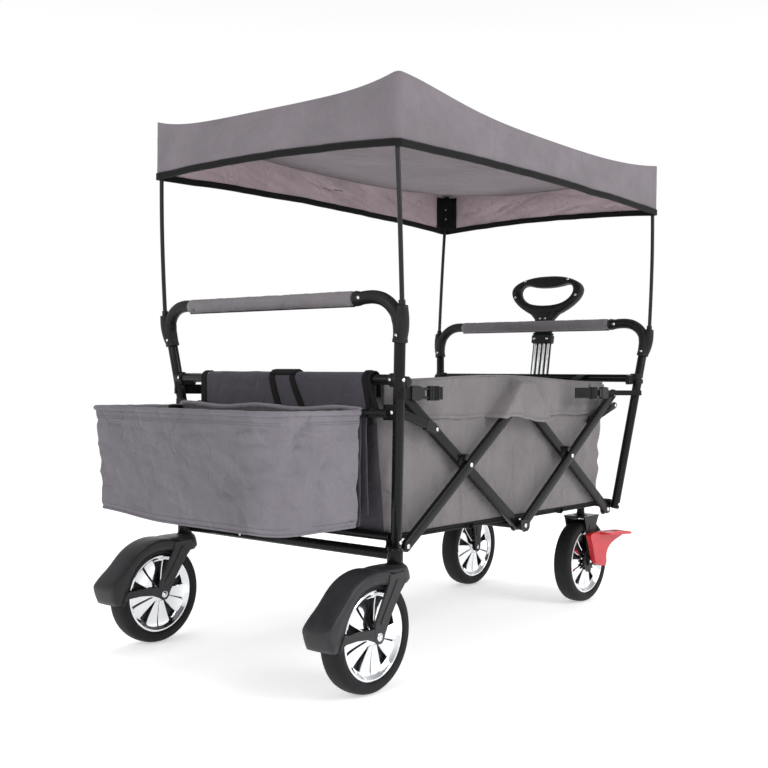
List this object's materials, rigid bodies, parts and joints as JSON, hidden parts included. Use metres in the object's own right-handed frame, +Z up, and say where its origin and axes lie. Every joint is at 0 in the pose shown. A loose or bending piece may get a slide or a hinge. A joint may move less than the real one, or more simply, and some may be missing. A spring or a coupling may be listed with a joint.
{
  "type": "folding wagon",
  "caption": "Folding utility wagon with swivel casters, fabric tub, rear basket, padded grab bars, clip-on sun canopy and telescopic pull handle.",
  "frame": {"origin": "on the floor under the middle of the bounding box", "axes": "+Z up, +X towards the pull handle, +Y to the wagon's left when looking along +X"},
  "size_m": [1.297, 0.654, 1.065],
  "materials": {
    "frame_paint": "satin charcoal powder coat",
    "black_plastic": "satin moulded nylon",
    "buckle_plastic": "moulded acetal",
    "tyre_rubber": "smooth matte rubber",
    "rim_chrome": "bright chrome",
    "pole_steel": "gloss dark tube",
    "handle_steel": "drawn steel tube",
    "grey_fabric": "woven polyester",
    "canopy_fabric": "thin woven polyester",
    "sleeve_fabric": "padded woven polyester",
    "pedal_red": "moulded nylon"
  },
  "bodies": {
    "rear_frame": {"rear_post_left": "frame_paint", "rear_post_right": "frame_paint", "rear_elbow_left": "black_plastic", "rear_elbow_right": "black_plastic", "rear_grab_bar": "frame_paint", "rear_grab_sleeve": "sleeve_fabric", "rear_top_crossbar": "frame_paint", "rear_caster_bar": "frame_paint", "rear_floor_bar": "frame_paint", "tub": "grey_fabric", "rear_buckle_left": "buckle_plastic", "rear_buckle_right": "buckle_plastic"},
    "rear_rising_links": {"rear_rising_link_left": "frame_paint", "rear_rising_link_right": "frame_paint"},
    "rear_falling_links": {"rear_falling_link_left": "frame_paint", "rear_falling_link_right": "frame_paint", "centre_floor_bar": "frame_paint"},
    "front_falling_links": {"front_falling_link_left": "frame_paint", "front_falling_link_right": "frame_paint"},
    "front_rising_links": {"front_rising_link_left": "frame_paint", "front_rising_link_right": "frame_paint"},
    "front_frame": {"front_post_left": "frame_paint", "front_post_right": "frame_paint", "front_elbow_left": "black_plastic", "front_elbow_right": "black_plastic", "front_grab_bar": "frame_paint", "front_grab_sleeve": "sleeve_fabric", "front_top_crossbar": "frame_paint", "front_axle_bar": "frame_paint", "pull_handle_bracket": "frame_paint", "front_fork_left": "frame_paint", "front_fork_right": "frame_paint", "front_buckle_left": "buckle_plastic", "front_buckle_right": "buckle_plastic"},
    "rear_stays": {"rear_stay_left": "frame_paint", "rear_stay_right": "frame_paint"},
    "front_stays": {"front_stay_left": "frame_paint", "front_stay_right": "frame_paint"},
    "pull_handle": {"pull_handle_tubes": "handle_steel"},
    "pull_grip": {"pull_handle_rods": "handle_steel", "pull_handle_grip": "black_plastic"},
    "canopy": {"canopy_cover": "canopy_fabric", "rear_canopy_pole_left": "pole_steel", "rear_canopy_pole_right": "pole_steel"},
    "canopy_front_poles": {"front_canopy_pole_left": "pole_steel", "front_canopy_pole_right": "pole_steel"},
    "basket": {"basket": "grey_fabric", "basket_frame": "frame_paint"},
    "caster_left": {"rear_fork_left": "black_plastic"},
    "rear_wheel_left": {"rear_tyre_left": "tyre_rubber", "rear_rim_left": "rim_chrome"},
    "front_wheel_left": {"front_tyre_left": "tyre_rubber", "front_rim_left": "rim_chrome"},
    "pedal_left": {"brake_pedal_left": "pedal_red"},
    "caster_right": {"rear_fork_right": "black_plastic"},
    "rear_wheel_right": {"rear_tyre_right": "tyre_rubber", "rear_rim_right": "rim_chrome"},
    "front_wheel_right": {"front_tyre_right": "tyre_rubber", "front_rim_right": "rim_chrome"},
    "pedal_right": {"brake_pedal_right": "pedal_red"}
  },
  "joints": [
    {"name": "fold", "type": "hinge", "parent": "rear_frame", "child": "rear_rising_links", "pos_m": [-0.3265, 0, 0.235], "axis": [0, -1, 0], "range_deg": [0, 36], "deforming": ["tub", "canopy_cover"]},
    {"name": "rear_cross", "type": "hinge", "parent": "rear_rising_links", "child": "rear_falling_links", "pos_m": [-0.1265, 0, 0.3725], "axis": [0, 1, 0], "range_deg": [0, 72]},
    {"name": "mid_top", "type": "hinge", "parent": "rear_rising_links", "child": "front_falling_links", "pos_m": [0.0735, 0, 0.51], "axis": [0, 1, 0], "range_deg": [0, 72]},
    {"name": "front_cross", "type": "hinge", "parent": "front_falling_links", "child": "front_rising_links", "pos_m": [0.2735, 0, 0.3725], "axis": [0, -1, 0], "range_deg": [0, 72]},
    {"name": "front_foot", "type": "hinge", "parent": "front_falling_links", "child": "front_frame", "pos_m": [0.4735, 0, 0.235], "axis": [0, -1, 0], "range_deg": [0, 36]},
    {"name": "rear_stay_pivot", "type": "hinge", "parent": "rear_frame", "child": "rear_stays", "pos_m": [-0.3615, 0, 0.482], "axis": [0, -1, 0], "range_deg": [0, 73.8]},
    {"name": "front_stay_pivot", "type": "hinge", "parent": "front_frame", "child": "front_stays", "pos_m": [0.5085, 0, 0.482], "axis": [0, 1, 0], "range_deg": [0, 73.8]},
    {"name": "pull_tilt", "type": "hinge", "parent": "front_frame", "child": "pull_handle", "pos_m": [0.5235, 0, 0.266], "axis": [0, 1, 0], "range_deg": [0, 78]},
    {"name": "pull_extend", "type": "slide", "parent": "pull_handle", "child": "pull_grip", "axis": [0.1676, 0, 0.9859], "range_m": [0, 0.28]},
    {"name": "canopy_lift", "type": "slide", "parent": "rear_frame", "child": "canopy", "axis": [0, 0, 1], "range_m": [0, 0.12]},
    {"name": "canopy_front_lift", "type": "slide", "parent": "front_frame", "child": "canopy_front_poles", "axis": [0, 0, 1], "range_m": [0, 0.12]},
    {"name": "basket_lift", "type": "slide", "parent": "rear_frame", "child": "basket", "axis": [0, 0, 1], "range_m": [0, 0.05]},
    {"name": "caster_swivel_left", "type": "hinge", "parent": "rear_frame", "child": "caster_left", "pos_m": [-0.3815, 0.28, 0.22], "axis": [0, 0, 1], "continuous": true},
    {"name": "rear_wheel_spin_left", "type": "hinge", "parent": "caster_left", "child": "rear_wheel_left", "pos_m": [-0.4595, 0.28, 0.1], "axis": [0, 1, 0], "continuous": true},
    {"name": "front_wheel_spin_left", "type": "hinge", "parent": "front_frame", "child": "front_wheel_left", "pos_m": [0.5015, 0.166, 0.1], "axis": [0, 1, 0], "continuous": true},
    {"name": "brake_pedal_left", "type": "hinge", "parent": "front_frame", "child": "pedal_left", "pos_m": [0.5015, 0.1962, 0.142], "axis": [0, 1, 0], "range_deg": [0, 14]},
    {"name": "caster_swivel_right", "type": "hinge", "parent": "rear_frame", "child": "caster_right", "pos_m": [-0.3815, -0.28, 0.22], "axis": [0, 0, 1], "continuous": true},
    {"name": "rear_wheel_spin_right", "type": "hinge", "parent": "caster_right", "child": "rear_wheel_right", "pos_m": [-0.4595, -0.28, 0.1], "axis": [0, 1, 0], "continuous": true},
    {"name": "front_wheel_spin_right", "type": "hinge", "parent": "front_frame", "child": "front_wheel_right", "pos_m": [0.5015, -0.166, 0.1], "axis": [0, 1, 0], "continuous": true},
    {"name": "brake_pedal_right", "type": "hinge", "parent": "front_frame", "child": "pedal_right", "pos_m": [0.5015, -0.1962, 0.142], "axis": [0, 1, 0], "range_deg": [0, 14]}
  ],
  "couplings": [
    {"joint": "rear_cross", "follows": "fold", "ratio": 2},
    {"joint": "mid_top", "follows": "fold", "ratio": 2},
    {"joint": "front_cross", "follows": "fold", "ratio": 2},
    {"joint": "front_foot", "follows": "fold", "ratio": 1},
    {"joint": "rear_stay_pivot", "follows": "fold", "ratio": 2.05},
    {"joint": "front_stay_pivot", "follows": "fold", "ratio": 2.05},
    {"joint": "canopy_front_lift", "follows": "canopy_lift", "ratio": 1}
  ]
}
